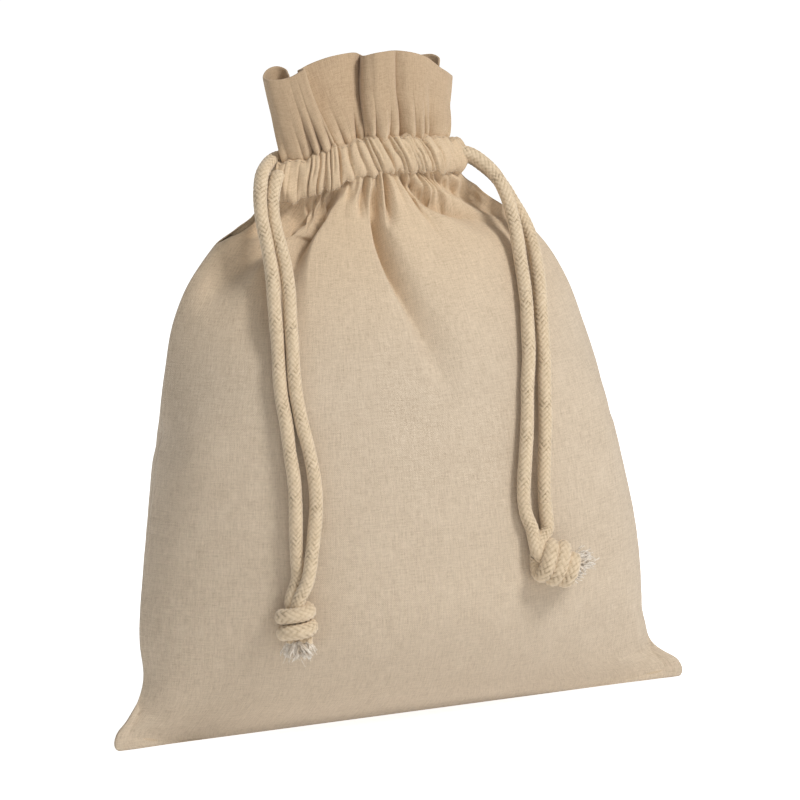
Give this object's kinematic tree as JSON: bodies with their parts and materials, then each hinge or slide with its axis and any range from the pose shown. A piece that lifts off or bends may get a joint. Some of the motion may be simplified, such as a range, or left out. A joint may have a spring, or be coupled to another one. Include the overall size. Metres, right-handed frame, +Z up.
{
  "type": "drawstring treat pouch",
  "caption": "Filled-shape woven cotton drawstring pouch for pet treats, with a gathered neck, a ruffled header and two loop drawcords ending in knots.",
  "frame": {"origin": "on the floor, under the middle of the bottom seam", "axes": "+Z up through the neck, +X along the bottom seam to the viewer's right when the knots face the viewer, -Y out of the front panel"},
  "size_m": [0.2482, 0.1159, 0.268],
  "materials": {
    "cotton_cloth": "natural melange plain weave, matte",
    "cotton_cord": "natural braided cord, matte",
    "cotton_fibre": "frayed undyed fibre, matte",
    "thread": "spun sewing thread, matte"
  },
  "bodies": {
    "pouch": {"front_panel": "cotton_cloth", "back_panel": "cotton_cloth", "left_side_overlock": "thread", "right_side_overlock": "thread", "bottom_overlock": "thread", "left_cord_return_bend": "cotton_cord", "right_cord_return_bend": "cotton_cord", "left_cord_exits": "cotton_cord", "right_cord_exits": "cotton_cord"},
    "front_mouth": {"front_casing": "cotton_cloth", "front_header": "cotton_cloth", "front_lower_stitching": "thread", "front_upper_stitching": "thread", "left_cord_front_run": "cotton_cord", "right_cord_front_run": "cotton_cord"},
    "back_mouth": {"back_casing": "cotton_cloth", "back_header": "cotton_cloth", "back_lower_stitching": "thread", "back_upper_stitching": "thread", "left_cord_back_run": "cotton_cord", "right_cord_back_run": "cotton_cord"},
    "left_tail_top": {"left_cord_top": "cotton_cord"},
    "left_tail_upper": {"left_cord_upper": "cotton_cord"},
    "left_tail_middle": {"left_cord_middle": "cotton_cord"},
    "left_tail_end": {"left_cord_lower": "cotton_cord", "left_knot": "cotton_cord", "left_frayed_ends": "cotton_fibre"},
    "right_tail_top": {"right_cord_top": "cotton_cord"},
    "right_tail_upper": {"right_cord_upper": "cotton_cord"},
    "right_tail_middle": {"right_cord_middle": "cotton_cord"},
    "right_tail_end": {"right_cord_lower": "cotton_cord", "right_knot": "cotton_cord", "right_frayed_ends": "cotton_fibre"}
  },
  "joints": [
    {"name": "front_mouth_open", "type": "hinge", "parent": "pouch", "child": "front_mouth", "pos_m": [0, -0.04, 0.165], "axis": [1, 0, 0], "range_deg": [0, 25]},
    {"name": "back_mouth_open", "type": "hinge", "parent": "pouch", "child": "back_mouth", "pos_m": [0, 0.04, 0.165], "axis": [-1, 0, 0], "range_deg": [0, 25]},
    {"name": "left_cord_draw", "type": "slide", "parent": "pouch", "child": "left_tail_top", "axis": [0, -0.1483, 0.9889], "range_m": [0, 0.012]},
    {"name": "left_tail_swing", "type": "hinge", "parent": "left_tail_top", "child": "left_tail_upper", "pos_m": [-0.0505, -0.029, 0.19], "axis": [-0.908, 0.4191, 0], "range_deg": [0, 75]},
    {"name": "left_tail_bend", "type": "hinge", "parent": "left_tail_upper", "child": "left_tail_middle", "pos_m": [-0.0525, -0.045, 0.143], "axis": [-0.908, 0.4191, 0], "range_deg": [0, 55]},
    {"name": "left_knot_swing", "type": "hinge", "parent": "left_tail_middle", "child": "left_tail_end", "pos_m": [-0.0545, -0.0508, 0.096], "axis": [-0.908, 0.4191, 0], "range_deg": [0, 55]},
    {"name": "right_cord_draw", "type": "slide", "parent": "pouch", "child": "right_tail_top", "axis": [0, -0.1483, 0.9889], "range_m": [0, 0.012]},
    {"name": "right_tail_swing", "type": "hinge", "parent": "right_tail_top", "child": "right_tail_upper", "pos_m": [0.0555, -0.0265, 0.192], "axis": [-0.9326, -0.361, 0], "range_deg": [0, 75]},
    {"name": "right_tail_bend", "type": "hinge", "parent": "right_tail_upper", "child": "right_tail_middle", "pos_m": [0.053, -0.0435, 0.148], "axis": [-0.9326, -0.361, 0], "range_deg": [0, 55]},
    {"name": "right_knot_swing", "type": "hinge", "parent": "right_tail_middle", "child": "right_tail_end", "pos_m": [0.0505, -0.0515, 0.104], "axis": [-0.9326, -0.361, 0], "range_deg": [0, 55]}
  ],
  "couplings": [
    {"joint": "back_mouth_open", "follows": "front_mouth_open", "ratio": 1},
    {"joint": "left_cord_draw", "follows": "front_mouth_open", "m_per_rad": 0.027474},
    {"joint": "right_cord_draw", "follows": "front_mouth_open", "m_per_rad": 0.027474}
  ]
}
